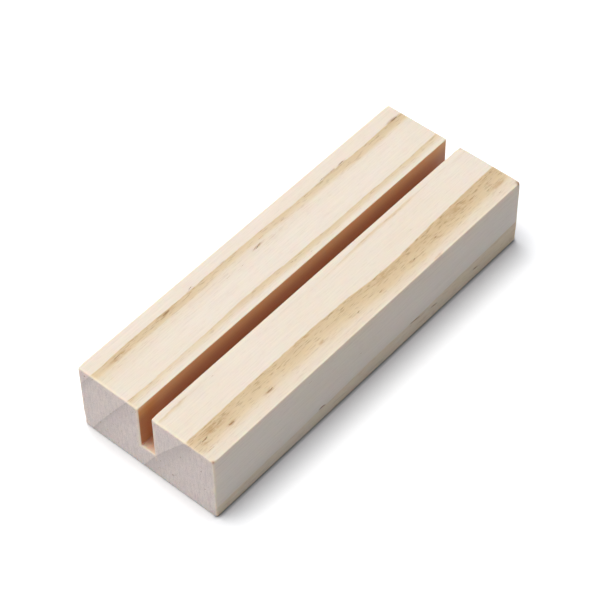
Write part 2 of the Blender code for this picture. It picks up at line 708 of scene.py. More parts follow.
@dataclass(frozen=True)
class BarePine:
    """Planed and sanded pine, with no varnish.

    Attributes:
        early: Pale early wood on the planed faces.
        straw: The warmer wood that leads up to the latewood.
        late: Dense latewood on the planed faces.
        sunned: A warm tint over broad patches of the planed faces.
        stain: The darker brown round a nick or along a resin streak, and also the colour of the painted
            shade along the front's lower edge.
        smoked: The brown of a cloud in the latewood.
        end_early: Early wood on the sawn ends.
        end_late: Latewood on the sawn ends.
        end_pore: Fine pores on the sawn ends.
        rim: A painted highlight along the corners, where the eased edges would catch the light; it also
            gives the painted light on the slot's floor near each end.
        slot_lit_top: The slot's walls near their top, in a painted warm bounce light.
        slot_shaded_deep: The slot's walls and floor further down, in painted shade.
        scorched: A tint over the slot's walls at the -X end.
        unevenness: How the latewood's tone comes and goes along the grain.
        fibres: Fine pale and dark lines along the grain.
        flecks: Short brown flecks, most of them in the latewood.
        patches: Where the sunned tint lies.
        mottle: Breaks up the clouds.
        rays: Streaks on the sawn ends.
        pores: Pores on the sawn ends.
        highlight_blotches: Where the painted highlight along the corners shows and where it doesn't.
        sunned_share: How strong that tint is, from 0 to 1, as are all shares.
        fleck_share: How strong the flecks are in early wood, and how much more in latewood.
        ray_share: How strong the streaks on the ends are.
        pore_share: How strong the pores on the ends are.
        slot_shade_reach: How far down the slot's walls their painted shade goes on deepening, in mm.
        floor_zone: How high over the slot's floor its colour starts and is full, in mm.
        floor_end_light: How far the painted light on the slot's floor reaches in from each open end, in mm,
            and how strong it is.
        scorch_along: How far from the -X end the scorch starts and is full, in mm.
        scorch_down: The same from the top.
        cloud_core: Where a cloud reaches its full strength, as a share of its size.
        tone: How far the latewood's tone comes and goes, and its lowest.
        stain_share: How brown a stain is.
        base_shade: Top and bottom of the painted shade strip along the front's lower edge, in mm, and its
            share.
        front_shade_zone: How far in from the front that painted shade starts and is full, in mm.
        streaks: The tone of the darkest fibres, and how much lighter the lightest are.
        bump_depth: How deep the finest relief is, in mm.
        glow_depth: How far light travels inside the wood, in mm, for red, green and blue.
    """

    early: Colour = srgb(243, 231, 216)
    straw: Colour = srgb(239, 221, 190)
    late: Colour = srgb(217, 192, 153)
    sunned: Colour = srgb(250, 244, 226)
    stain: Colour = srgb(150, 105, 62)
    smoked: Colour = srgb(184, 140, 90)
    end_early: Colour = srgb(240, 226, 218)
    end_late: Colour = srgb(204, 191, 186)
    end_pore: Colour = srgb(160, 142, 134)
    rim: Colour = srgb(255, 236, 212)
    slot_lit_top: Colour = srgb(254, 212, 160)
    slot_shaded_deep: Colour = srgb(216, 168, 138)
    scorched: Colour = srgb(246, 229, 200)
    unevenness: Noise = Noise((7.0, 0.9, 0.9), seed=2, detail=3.0)
    fibres: Noise = Noise((9.0, 0.30, 0.30), seed=3, detail=3.0, rough=0.6, shows=(0.25, 0.75))
    flecks: Noise = Noise((1.7, 0.20, 0.20), seed=4, shows=(0.53, 0.70))
    patches: Noise = Noise((26.0, 7.0, 7.0), seed=5, detail=1.0, shows=(0.35, 0.75))
    mottle: Noise = Noise((1.3, 0.40, 0.40), seed=10, shows=(0.30, 0.66))
    rays: Noise = Noise((30.0, 0.30, 1.5), seed=6, detail=3.0, shows=(0.35, 0.75))
    pores: Noise = Noise((30.0, 0.16, 0.16), seed=7, detail=1.0, shows=(0.52, 0.76))
    highlight_blotches: Noise = Noise((3.0, 3.0, 3.0), seed=9, shows=(0.2, 0.7))
    sunned_share: float = 0.2
    fleck_share: tuple[float, float] = (0.05, 0.52)
    ray_share: float = 0.42
    pore_share: float = 0.40
    slot_shade_reach: float = 4.0
    floor_zone: tuple[float, float] = (0.35, 0.05)
    floor_end_light: tuple[float, float] = (2.0, 0.75)
    scorch_along: tuple[float, float] = (6.0, 2.0)
    scorch_down: tuple[float, float] = (0.3, 1.3)
    cloud_core: float = 0.15
    tone: tuple[float, float] = (0.9, 0.55)
    stain_share: float = 0.75
    base_shade: Point = (0.9, 0.3, 0.25)
    front_shade_zone: tuple[float, float] = (0.5, 0.1)
    streaks: tuple[float, float] = (0.96, 0.06)
    bump_depth: float = 0.03
    glow_depth: Point = (1.0, 0.55, 0.33)

    def smoke(self, sheet: NodeSheet, point: Field, half_length: float, top: float) -> Field:
        """Gives how far a point lies in one of the brown clouds.

        Args:
            sheet: The node tree being written.
            point: Where, in millimetres.
            half_length: Half the block's length, in millimetres.
            top: The height of the block's top, in millimetres.

        Returns:
            0 outside them, up to the cloud's strength at its middle.
        """
        total: Entry = 0.0
        for cloud in CLOUDS:
            spot = (cloud.along - half_length, cloud.out, top)
            reach = (cloud.length / 2, cloud.width / 2, cloud.width)
            apart = sheet.vector("DIVIDE", sheet.vector("SUBTRACT", point, spot), reach)
            away = sheet.vector("LENGTH", apart, output="Value")
            total = sheet.step(away, 1.0, self.cloud_core) * cloud.strength + total
        return total

    def material(
        self, rings: GrowthRings, half_length: float, half_width: float, top: float, slot_depth: float
    ) -> bpy.types.Material:
        """Writes the finish as a material.

        Args:
            rings: The grain that it shows.
            half_length: Half the block's length, in millimetres.
            half_width: Half its width.
            top: The height of the block's top, in millimetres.
            slot_depth: From the top to the slot's floor, in millimetres.

        Returns:
            The material.
        """
        sheet = MaterialSheet("bare_pine")
        point = sheet.object_point()
        along, out, up = sheet.parts(point)
        end_grain, slot_wall, rim, stain = (
            sheet.attribute(name) for name in ("end_grain", "slot_wall", "rim", "stain")
        )
        fibre = sheet.noise(point, self.fibres)
        fleck = sheet.noise(point, self.flecks)
        rays = sheet.noise(point, self.rays)
        latewood = rings.latewood(sheet, point, half_length)
        swing, lowest = self.tone
        uneven = latewood * (sheet.noise(point, self.unevenness) * swing + lowest)

        # The planed faces: early wood, straw and latewood, then tint, flecks and clouds.
        planed = sheet.blend(sheet.step(uneven, 0.0, 0.5), self.early, self.straw)
        planed = sheet.blend(uneven, planed, self.late)
        patches = sheet.blotches(point, self.patches) * self.sunned_share
        planed = sheet.blend(patches, planed, self.sunned, "MULTIPLY")
        in_early, in_late = self.fleck_share
        flecks = sheet.step(fleck, *self.flecks.shows) * (latewood * in_late + in_early)
        planed = sheet.blend(flecks, planed, self.stain)
        smoke = self.smoke(sheet, point, half_length, top) * sheet.blotches(point, self.mottle)
        planed = sheet.blend(smoke, planed, self.smoked)

        # The sawn ends.
        sawn = sheet.blend(uneven, self.end_early, self.end_late)
        sawn = sheet.blend(sheet.step(rays, *self.rays.shows) * self.ray_share, sawn, self.end_late)
        sawn = sheet.blend(sheet.blotches(point, self.pores) * self.pore_share, sawn, self.end_pore)

        # The slot: painted warm bounce light near the top of its walls, deepening to painted shade further
        # down.
        kerf = sheet.blend(sheet.step(up, top, top - self.slot_shade_reach), self.slot_lit_top, self.slot_shaded_deep)
        floor = top - slot_depth
        on_floor = sheet.step(up, *(floor + over for over in self.floor_zone))
        # Painted light: the slot's floor is lightened near each open end, where light gets into the slot.
        end_light_reach, end_light_share = self.floor_end_light
        from_end = half_length - sheet.math("ABSOLUTE", along)
        kerf = sheet.blend(sheet.step(from_end, end_light_reach, 0.0) * on_floor * end_light_share, kerf, self.rim)
        near_end = sheet.step(along, *(reach - half_length for reach in self.scorch_along))
        near_end = near_end * sheet.step(up, *(top - below for below in self.scorch_down))
        kerf = sheet.blend(near_end * (1 - on_floor), kerf, self.scorched, "MULTIPLY")

        # All of them together, then the painted highlight along the corners, stains, the painted shade along
        # the front's lower edge, and fibres.
        colour = sheet.blend(end_grain, planed, sawn)
        colour = sheet.blend(slot_wall, colour, kerf)
        # Painted highlight: the corners are lightened where their rounding would catch the light, but not
        # along the slot's walls.
        edge_highlight = rim * (1 - slot_wall) * sheet.blotches(point, self.highlight_blotches)
        colour = sheet.blend(edge_highlight, colour, self.rim)
        colour = sheet.blend(sheet.step(stain, 0.0, 1.0) * self.stain_share, colour, self.stain)
        # Painted shade: a darker strip along the front's lower edge, in the stain's colour, where the block
        # meets the floor.
        base_shade_top, base_shade_bottom, base_shade_share = self.base_shade
        on_front = sheet.step(out, *(inside - half_width for inside in self.front_shade_zone))
        base_shade = sheet.step(up, base_shade_top, base_shade_bottom) * on_front
        colour = sheet.blend(base_shade * base_shade_share, colour, self.stain)
        darkest, depth = self.streaks
        streaks = sheet.step(fibre, *self.fibres.shows) * depth + darkest
        colour = sheet.blend(1.0, colour, sheet.joined(streaks, streaks, streaks), "MULTIPLY")

        relief = fibre * 0.6 + fleck * 0.25 + (rays * 0.5) * end_grain
        bump = sheet.node("ShaderNodeBump", Strength=0.6, Distance=self.bump_depth * MM, Height=relief)
        shader = sheet.node(
            "ShaderNodeBsdfPrincipled",
            Base_Color=colour,
            Roughness=0.66 - latewood * 0.10 + end_grain * 0.12,
            IOR=1.45,
            Normal=sheet.out(bump),
            Specular_IOR_Level=0.3,
            Subsurface_Weight=0.9,
            Subsurface_Radius=self.glow_depth,
            Subsurface_Scale=1.0 * MM,
        )
        return sheet.surface(sheet.out(shader))


@dataclass(frozen=True)
class DryResin:
    """Dark, dried resin in the canals that the plane and the saw cut open.

    Attributes:
        thin: Where it is thin.
        thick: Where it is thick.
        clots: How the two alternate.
    """

    thin: Colour = srgb(188, 148, 102)
    thick: Colour = srgb(140, 100, 64)
    clots: Noise = Noise((0.5, 0.12, 0.12), seed=8, shows=(0.3, 0.7))

    def material(self, name: str) -> bpy.types.Material:
        """Writes the finish as a material.

        Args:
            name: What the material is called.

        Returns:
            The material.
        """
        sheet = MaterialSheet(name)
        clots = sheet.noise(sheet.object_point(), self.clots)
        colour = sheet.blend(sheet.step(clots, *self.clots.shows), self.thick, self.thin)
        shader = sheet.node("ShaderNodeBsdfPrincipled", Base_Color=colour, Roughness=clots * 0.3 + 0.4)
        return sheet.surface(sheet.out(shader))


@dataclass(frozen=True)
class StudioPaper:
    """A pale matt sheet. To the camera it reads as clean white, and it keeps the shadow.

    Attributes:
        true_colour: What lights the object from below.
        shown_colour: What the camera sees, before any shadow.
        contact_reach: How near the block must be for its soft contact shadow to show.
        contact_share: How dark that shadow is, from 0 to 1.
        line_reach: The same for the thin painted shadow line along the front's lower edge.
        line_share: How dark that line is.
        line_from: Where on Y the line begins, in mm, going outwards under the front.
        line_full: Where on Y it has its full strength, in mm.
    """

    true_colour: Colour = (0.62, 0.62, 0.625, 1.0)
    shown_colour: Point = (1.36, 1.375, 1.38)
    contact_reach: float = 6.0 * MM
    contact_share: float = 0.50
    line_reach: float = 0.7 * MM
    line_share: float = 0.85
    line_from: float = -14.0
    line_full: float = -14.8

    def material(self) -> bpy.types.Material:
        """Writes the finish as a material.

        Returns:
            The material.
        """
        sheet = MaterialSheet("studio_paper")
        seen = sheet.seen()
        _, out, _ = sheet.parts(sheet.object_point())
        # Painted shade from ambient occlusion, on top of the lamps' own shadows: a soft contact shadow all
        # round the block and a darker shadow line in front of its front face.
        before_front = sheet.step(out, self.line_from, self.line_full)
        shade = sheet.openness(self.contact_reach) * self.contact_share + (1 - self.contact_share)
        pressed = 1 - sheet.openness(self.line_reach)
        shade = shade * (1 - pressed * before_front * self.line_share)
        colour = sheet.blend(seen, self.true_colour, sheet.scaled(self.shown_colour, shade))
        return sheet.surface(sheet.out(sheet.node("ShaderNodeBsdfDiffuse", Color=colour)))


# The block


class Face(Enum):
    """A face of the block that shows a nick."""

    TOP = "top"
    FRONT = "front"


@dataclass(frozen=True)
class Nick:
    """A short dark streak where a resin canal was torn open.

    Attributes:
        face: Which face it is on.
        along: From the block's -X end to its middle, in mm.
        across: On the top, from the +Y edge; on the front, from the top edge; in mm.
        length: Along the grain, in mm.
        width: Across the grain, in mm.
        turn: How far it turns off the grain, in degrees.
    """

    face: Face
    along: float
    across: float
    length: float
    width: float
    turn: float = 0.0


NICKS = tuple(Nick(face, *row) for face, rows in (
    (Face.TOP, (
        (2.6, 25.8, 1.36, 0.17, 6),
        (7.9, 26.8, 1.36, 0.19, -6),
        (16.8, 27.1, 1.44, 0.20, 4),
        (38.7, 27.4, 0.68, 0.12, 20),
        (44.7, 27.4, 0.77, 0.11, 0),
        (53.9, 27.1, 1.02, 0.17, 8),
        (60.3, 26.7, 1.02, 0.17, 4),
        (75.3, 26.8, 1.60, 0.07, 10),
        (75.8, 28.7, 1.20, 0.07, 4),
        (5.8, 3.4, 1.22, 0.10, 2),
        (17.9, 3.05, 1.50, 0.15, 6),
        (24.7, 2.4, 1.09, 0.09, 8),
        (38.9, 4.8, 2.30, 0.08, 12),
        (58.0, 2.9, 1.22, 0.10, 6),
        (63.2, 2.9, 1.50, 0.13, 0),
        (77.9, 3.1, 1.63, 0.12, 0),
    )),
    (Face.FRONT, (
        (26.3, 11.5, 1.36, 0.17, -6),
        (51.3, 11.3, 2.55, 0.19, -6),
        (56.6, 12.1, 1.70, 0.20, -8),
        (68.4, 12.4, 1.87, 0.26, -6),
    )),
) for row in rows)


@dataclass(frozen=True)
class Knock:
    """A top corner that is rounded more than the rest.

    Attributes:
        spot: Where it is, in metres.
        extra: How much the rounding grows there.
        reach: How far along the edges it is felt.
        stain: How dark the bruised wood is, from 0 to 1.
        stain_reach: How far that dark spot goes.
    """

    spot: Point
    extra: float
    reach: float
    stain: float
    stain_reach: float


# Where the mesh's lines lie beside a corner, in radii of the widest arris, and the most of a
# stretch between two corners that they may take up at either end.
CORNER_STEPS = np.array([0.0, 0.09, 0.2, 0.35, 0.55, 0.85, 1.3, 2.0, 2.9])
CORNER_SHARE = 0.45


@dataclass
class PineBlock:
    """The whole holder: a block of pine with a slot along its top.

    Attributes:
        length: Along X, the grain.
        width: Along Y.
        height: Along Z.
        slot_width: Between the slot's walls.
        slot_depth: From the top to the slot's floor.
        rings: The grain.
        finish: What the wood looks like.
        arris: Radius of the eased corners.
        end_arris: The same round the two sawn ends.
        base_arris: The same round the base.
        rim_width: How far in from a corner the painted highlight reaches.
        arris_unevenness: How much a corner's radius varies by hand sanding, as a share.
        latewood_lift: How far sanding leaves the dense latewood proud.
        fibre_depth: Depth of the open fibres.
        saw_depth: Depth of the marks on the ends and in the slot.
        saw_pitch: From one mark in the slot to the next.
        nick_depth: Depth of a torn resin canal.
        nick_spread: How far its hollow reaches, as shares of its length and its width.
        cell_along: Spacing of the mesh along the grain.
        cell_across: Spacing of the mesh across it.
        base_zone: At which share of the height the base's arris starts and is full.
        end_zone: How far in from an end the end's arris starts and is full.
        grain_zone: How squarely a rounded corner faces an end where end grain starts and is full.
        wall_zone: The same for the slot's walls.
        slot_highlight_spread: How much wider the painted highlight is along the slot's edges.
        unplaned: How high over the base the relief of the planed faces fades out and is gone.
        saw_slant: How far the marks in the slot lean.
        hand_wobble: How the corners' radius comes and goes, in metres.
        open_fibres: The open fibres, in mm.
        saw_marks: The marks on the ends, in mm.
    """

    length: float
    width: float
    height: float
    slot_width: float
    slot_depth: float
    rings: GrowthRings
    finish: BarePine
    arris: float = 0.08 * MM
    end_arris: float = 0.26 * MM
    base_arris: float = 0.50 * MM
    rim_width: float = 0.55 * MM
    arris_unevenness: float = 0.35
    latewood_lift: float = 0.025 * MM
    fibre_depth: float = 0.012 * MM
    saw_depth: float = 0.02 * MM
    saw_pitch: float = 0.9 * MM
    nick_depth: float = 0.10 * MM
    nick_spread: tuple[float, float] = (0.55, 0.9)
    cell_along: float = 0.55 * MM
    cell_across: float = 0.40 * MM
    base_zone: tuple[float, float] = (0.25, 0.1)
    end_zone: tuple[float, float] = (1.2 * MM, 0.5 * MM)
    grain_zone: tuple[float, float] = (0.55, 0.95)
    wall_zone: tuple[float, float] = (0.80, 0.99)
    slot_highlight_spread: float = 1.5
    unplaned: tuple[float, float] = (0.9 * MM, 0.2 * MM)
    saw_slant: float = 0.35
    hand_wobble: Noise = Noise((9 * MM, 5 * MM, 5 * MM), seed=11)
    open_fibres: Noise = Noise((8.0, 0.7, 0.7), seed=12)
    saw_marks: Noise = Noise((30.0, 0.9, 8.0), seed=13)

    @classmethod
    def from_frame(cls, packed: dict[str, Any], rings: GrowthRings, finish: BarePine) -> "PineBlock":
        """Reads the block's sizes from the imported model.

        Args:
            packed: The frame.
            rings: The grain.
            finish: What the wood looks like.

        Returns:
            The block, not built yet.
        """
        low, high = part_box(CAD_NODE)
        mounts = {mount["name"]: mount["pos_m"] for mount in packed["record"]["mounts"]}
        slot_width = mounts["slot_back_wall"][1] - mounts["slot_front_wall"][1]
        slot_depth = high.z - mounts["slot_floor"][2]
        size = high - low
        return cls(size.x, size.y, size.z, slot_width, slot_depth, rings, finish)

    def knocks(self) -> tuple[Knock, ...]:
        """Lists the corners that have taken a knock.

        Returns:
            Three of them, all on the top's front half.
        """
        half_length, half_width, half_slot = self.length / 2, self.width / 2, self.slot_width / 2
        return (
            Knock((-half_length, -half_width, self.height), 0.15 * MM, 1.2 * MM, 0.8, 0.9 * MM),
            Knock((half_length, -half_width, self.height), 0.25 * MM, 1.6 * MM, 1.2, 1.5 * MM),
            Knock((half_length, -half_slot, self.height), 0.12 * MM, 1.0 * MM, 1.0, 1.1 * MM),
        )

    def lines(self, corners: Sequence[float], cell: float) -> np.ndarray:
        """Places the mesh's lines along one axis: even, and close together near each corner.

        Args:
            corners: Where the block has a corner, in order.
            cell: The even spacing.

        Returns:
            The places of the lines, in order.
        """
        near = self.base_arris * CORNER_STEPS
        found: list[float] = []
        for low, high in zip(corners, corners[1:]):
            reach = min(near[-1], (high - low) * CORNER_SHARE)
            shrunk = near * (reach / near[-1])
            count = max(1, round((high - low - 2 * reach) / cell))
            found += list(low + shrunk) + list(np.linspace(low + reach, high - reach, count + 1)[1:-1])
            found += list(high - shrunk[::-1])
        return np.unique(np.round(found, 9))

    def sharp_mesh(self) -> bpy.types.Mesh:
        """Builds the block with sharp corners, as a closed skin of four-sided faces.

        Returns:
            The mesh, which carries how deep each point lies in a nick.
        """
        half = (self.length / 2, self.width / 2)
        floor = self.height - self.slot_depth
        lines = (
            self.lines((-half[0], half[0]), self.cell_along),
            self.lines((-half[1], -self.slot_width / 2, self.slot_width / 2, half[1]), self.cell_across),
            self.lines((0.0, floor, self.height), self.cell_across),
        )
        middles = [(line[1:] + line[:-1]) / 2 for line in lines]
        in_slot = (np.abs(middles[1])[:, None] < self.slot_width / 2) & (middles[2][None, :] > floor)
        solid = np.broadcast_to(~in_slot, (len(middles[0]), *in_slot.shape))
        corners = self.skin(solid)
        counts = [len(line) for line in lines]
        flat = np.ravel_multi_index(corners.reshape(-1, 3).T, counts)
        used, faces = np.unique(flat, return_inverse=True)
        places = np.stack([line[i] for line, i in zip(lines, np.unravel_index(used, counts))], axis=1)
        mesh = bpy.data.meshes.new("sharp_block")
        mesh.from_pydata(places.tolist(), [], faces.reshape(-1, 4).tolist())
        nick = mesh.attributes.new("nick", "FLOAT", "POINT")
        nick.data.foreach_set("value", self.nick_share(places).astype(np.float32))
        return mesh

    @staticmethod
    def skin(solid: np.ndarray) -> np.ndarray:
        """Finds the faces between the solid cells of a lattice and the empty ones.

        Args:
            solid: True for each solid cell.

        Returns:
            The lattice indices of each face's four corners, wound so that it points outwards.
        """
        padded = np.pad(solid, 1).astype(np.int8)
        found = []
        for axis in range(3):
            change = np.diff(padded, axis=axis)
            trimmed = tuple(slice(None) if a == axis else slice(1, -1) for a in range(3))
            change = change[trimmed]
            second, third = (axis + 1) % 3, (axis + 2) % 3
            walk = np.zeros((4, 3), int)
            walk[1, second] = walk[2, second] = 1
            walk[2, third] = walk[3, third] = 1
            outwards = np.argwhere(change == -1)[:, None, :] + walk
            inwards = np.argwhere(change == 1)[:, None, :] + walk[::-1]
            found += [outwards, inwards]
        return np.concatenate(found)

    def nick_spot(self, nick: Nick) -> Vector:
        """Finds the middle of a nick on its face.

        Args:
            nick: The nick.

        Returns:
            Its place, in metres.
        """
        x = -self.length / 2 + nick.along * MM
        if nick.face is Face.TOP:
            return Vector((x, self.width / 2 - nick.across * MM, self.height))
        return Vector((x, -self.width / 2, self.height - nick.across * MM))

    def nick_share(self, places: np.ndarray) -> np.ndarray:
        """Tells how deep each point lies in a nick.

        Args:
            places: The points, in metres.

        Returns:
            For each of them, 0 outside the nicks and up to 1 at the bottom of one.
        """
        share = np.zeros(len(places))
        reach_along, reach_across = self.nick_spread
        for nick in NICKS:
            offset = places - np.array(self.nick_spot(nick))
            side, drop = (1, 2) if nick.face is Face.TOP else (2, 1)
            turn = math.radians(nick.turn)
            along = offset[:, 0] * math.cos(turn) + offset[:, side] * math.sin(turn)
            across = offset[:, side] * math.cos(turn) - offset[:, 0] * math.sin(turn)
            fall = (along / (reach_along * nick.length * MM)) ** 2
            fall = fall + (across / (reach_across * nick.width * MM)) ** 2
            on_face = np.abs(offset[:, drop]) < 0.1 * MM
            share = np.maximum(share, np.exp(-fall) * on_face)
        return share

    def sanding_tree(self) -> GeometrySheet:
        """Writes the nodes that ease the corners, raise the grain and leave the saw's marks.

        Returns:
            The tree, which also stores which points are end grain, slot wall or near a corner, where the
            finish paints a highlight.
        """
        sheet = GeometrySheet("sand_the_block")
        length, width, height, slot_width, slot_depth, rim_width = sheet.numbers(
            self, "length", "width", "height", "slot_width", "slot_depth", "rim_width"
        )
        arris, end_arris, base_arris, uneven = sheet.numbers(
            self, "arris", "end_arris", "base_arris", "arris_unevenness"
        )
        lift, fibre_depth, saw_depth, saw_pitch, nick_depth = sheet.numbers(
            self, "latewood_lift", "fibre_depth", "saw_depth", "saw_pitch", "nick_depth"
        )

        # How far in from each kind of face a point lies, and how round the corner near it is.
        place = sheet.place()
        x, y, z = sheet.parts(place)
        far_x, far_y = sheet.math("ABSOLUTE", x), sheet.math("ABSOLUTE", y)
        beside_slot = far_y - slot_width * 0.5
        below_slot = height - slot_depth - z
        insets = {
            "end": length * 0.5 - far_x,
            "side": width * 0.5 - far_y,
            "top": height - z,
            "base": z,
            "slot": sheet.largest(beside_slot, below_slot),
        }
        wobble = sheet.noise(place, self.hand_wobble) - 0.5
        low_down = sheet.step(z, *(height * share for share in self.base_zone))
        at_end = sheet.step(insets["end"], *self.end_zone) * (1 - low_down)
        radius = arris + (base_arris - arris) * low_down + (end_arris - arris) * at_end
        radius = radius * (wobble * uneven * 2 + 1)
        nick = sheet.attribute("nick")
        stain = nick * 0.5
        for knock in self.knocks():
            distance = sheet.vector("DISTANCE", place, knock.spot, output="Value")
            radius = radius + sheet.step(distance, knock.reach, 0.0) * knock.extra
            stain = sheet.largest(stain, sheet.step(distance, knock.stain_reach, 0.0) * knock.stain)

        # The rounding: points near a corner move in, on to its curve.
        bites = {name: sheet.largest(radius - inset, 0.0) for name, inset in insets.items()}
        squares: Entry = 0.0
        for bite in bites.values():
            squares = bite * bite + squares
        reach = sheet.math("SQRT", squares)
        keep = 1 - radius / sheet.largest(reach, radius)
        shift = {name: bite * keep for name, bite in bites.items()}
        to_side = sheet.math("GREATER_THAN", beside_slot, below_slot - 1e-7)
        to_floor = sheet.math("GREATER_THAN", below_slot, beside_slot - 1e-7)
        offset = sheet.joined(
            sheet.math("SIGN", x) * shift["end"] * -1,
            sheet.math("SIGN", y) * (shift["slot"] * to_side - shift["side"]),
            shift["base"] - shift["top"] - shift["slot"] * to_floor,
        )
        # What the finish and the canals need to know of each point.
        mesh = sheet.stored(sheet.mesh, "end_grain", sheet.step(bites["end"] / reach, *self.grain_zone))
        mesh = sheet.stored(mesh, "slot_wall", sheet.step(bites["slot"] / reach, *self.wall_zone))
        # Nearness to a corner, which the finish paints as a highlight along the edges.
        nearness: Entry = -1.0
        for name, spread in (("end", 1.0), ("side", 1.0), ("top", 1.0), ("slot", self.slot_highlight_spread)):
            nearness = sheet.largest(1 - insets[name] / (rim_width * spread), 0.0) + nearness
        mesh = sheet.stored(mesh, "rim", sheet.step(nearness, 0.0, 1.0))
        mesh = sheet.stored(mesh, "stain", stain)
        mesh = sheet.moved(mesh, offset)

        # The relief of the grain, the saw's marks and the nicks.
        point = sheet.scaled(sheet.place(), 1 / MM)
        end_grain, slot_wall = sheet.attribute("end_grain"), sheet.attribute("slot_wall")
        on_base = sheet.step(z, *self.unplaned)
        planed = (1 - end_grain) * (1 - slot_wall) * (1 - on_base)
        latewood = self.rings.latewood(sheet, point, self.length / 2 / MM)
        early_dip = (1 - sheet.math("MINIMUM", latewood, 1.0)) * lift
        fibres = sheet.noise(point, self.open_fibres) * fibre_depth
        ripple = sheet.math("SINE", (x + z * self.saw_slant) / saw_pitch * math.tau) * 0.5 + 0.5
        kerf = ripple * saw_depth
        sawn = sheet.noise(point, self.saw_marks) * saw_depth
        sunk = (early_dip + fibres) * planed + kerf * slot_wall + sawn * end_grain * (1 - on_base)
        sunk = sunk + nick * nick_depth
        normal = sheet.out(sheet.node("GeometryNodeInputNormal"))
        mesh = sheet.moved(mesh, sheet.scaled(normal, sunk * -1))
        sizes = (self.length / 2 / MM, self.width / 2 / MM, self.height / MM, self.slot_depth / MM)
        sheet.finish(mesh, self.finish.material(self.rings, *sizes))
        return sheet

    def build(self) -> bpy.types.Object:
        """Builds the block and puts it in the place of the CAD solid.

        Returns:
            The finished piece.
        """
        block = self.sanding_tree().applied_to(self.sharp_mesh(), "pine_block")
        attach(block, BODY)
        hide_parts(CAD_NODE)
        return block


class Cut(Enum):
    """How the plane or the saw has met a resin canal."""

    ALONG = "along"
    ACROSS = "across"

    @property
    def pivot(self) -> str:
        """Gives the lens's own axis that keeps its direction as it is laid down."""
        return "X" if self is Cut.ALONG else "Y"


@dataclass(frozen=True)
class Pore:
    """A resin canal cut across on the -X end.

    Attributes:
        across: From the block's +Y side to its middle, in mm.
        below: From the top, in mm.
        size: Across the canal, in mm.
    """

    across: float
    below: float
    size: float


PORES = tuple(
    Pore(*row)
    for row in (
        (20.5, 11.5, 0.65),
        (21.1, 11.0, 0.39),
        (27.75, 9.0, 0.47),
        (27.1, 4.75, 0.47),
        (27.2, 3.6, 0.34),
        (17.75, 10.1, 0.42),
        (6.75, 6.75, 0.36),
        (7.1, 9.2, 0.31),
        (3.9, 11.4, 0.36),
        (1.5, 1.1, 0.44),
        (3.25, 0.6, 0.36),
        (22.5, 4.9, 0.39),
    )
)


